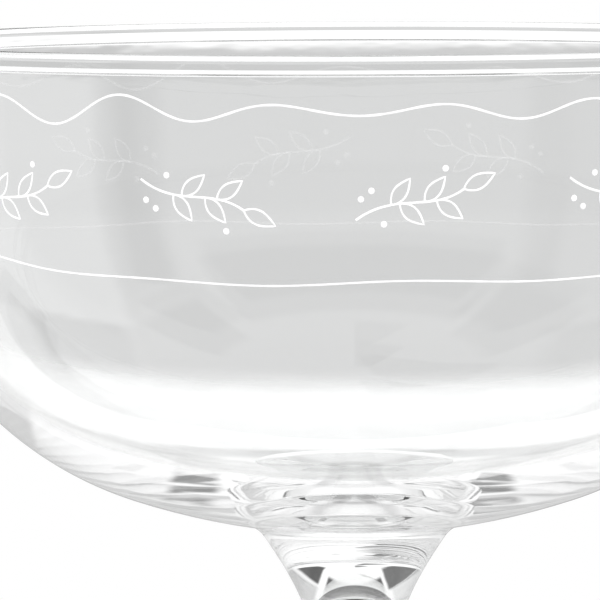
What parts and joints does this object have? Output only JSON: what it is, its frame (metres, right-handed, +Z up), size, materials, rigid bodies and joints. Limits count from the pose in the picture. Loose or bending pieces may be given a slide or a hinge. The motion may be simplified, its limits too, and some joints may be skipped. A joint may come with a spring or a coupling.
{
  "type": "coupe glass",
  "caption": "Stemmed coupe glass with a wide shallow bowl, a beaded rim, a slim flared stem and a round domed foot.",
  "frame": {"origin": "middle of the foot, on the surface that the glass stands on", "axes": "+Z up along the axis of the stem and bowl; X and Y are level and equal, because the glass is round"},
  "size_m": [0.096, 0.096, 0.14],
  "materials": {
    "clear_glass": "clear fire-polished glass, with fine matt white engraving on the outside of the bowl"
  },
  "bodies": {
    "root": {"bowl": "clear_glass", "stem": "clear_glass", "foot": "clear_glass"}
  },
  "joints": []
}
